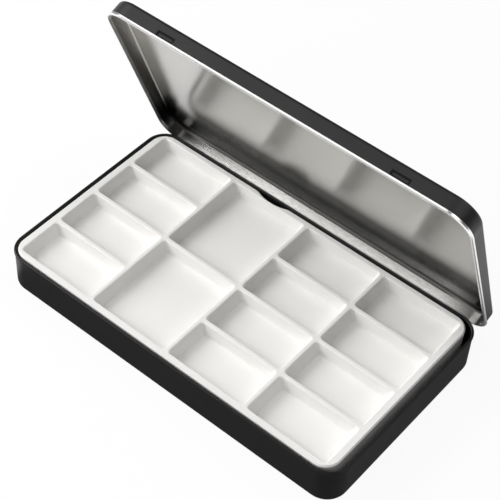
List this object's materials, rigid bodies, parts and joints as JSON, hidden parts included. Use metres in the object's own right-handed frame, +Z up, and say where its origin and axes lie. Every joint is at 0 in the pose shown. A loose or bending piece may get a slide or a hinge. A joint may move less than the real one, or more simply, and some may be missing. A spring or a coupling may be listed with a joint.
{
  "type": "travel watercolor palette",
  "caption": "Shallow hinged metal paint tin, dark outside and bare metal in the lid, with a white moulded mixing tray of rectangular wells in its base.",
  "frame": {"origin": "middle of the flat underside of the base tin", "axes": "+X along the tin's length, to the right of a painter with the hinges at the back; +Y towards the hinges; +Z up"},
  "size_m": [0.2134, 0.1279, 0.1344],
  "materials": {
    "black_tin": "satin black enamel on tinplate",
    "white_plastic": "smooth white moulding with a soft sheen",
    "hinge_steel": "plain tinplate"
  },
  "bodies": {
    "base": {"base_tin": "black_tin", "left_base_hinge_leaf": "hinge_steel", "right_base_hinge_leaf": "hinge_steel", "left_hinge_pin": "hinge_steel", "right_hinge_pin": "hinge_steel"},
    "lid": {"lid_tin": "black_tin", "left_lid_hinge_leaf": "hinge_steel", "right_lid_hinge_leaf": "hinge_steel"},
    "tray": {"palette_tray": "white_plastic"}
  },
  "joints": [
    {"name": "lid_hinge", "type": "hinge", "parent": "base", "child": "lid", "pos_m": [0, 0.06195, 0.0173], "axis": [-1, 0, 0], "range_deg": [-69.6, 110.4]},
    {"name": "tray_play", "type": "slide", "parent": "base", "child": "tray", "axis": [0, 0, 1], "range_m": [0, 0.001]}
  ]
}
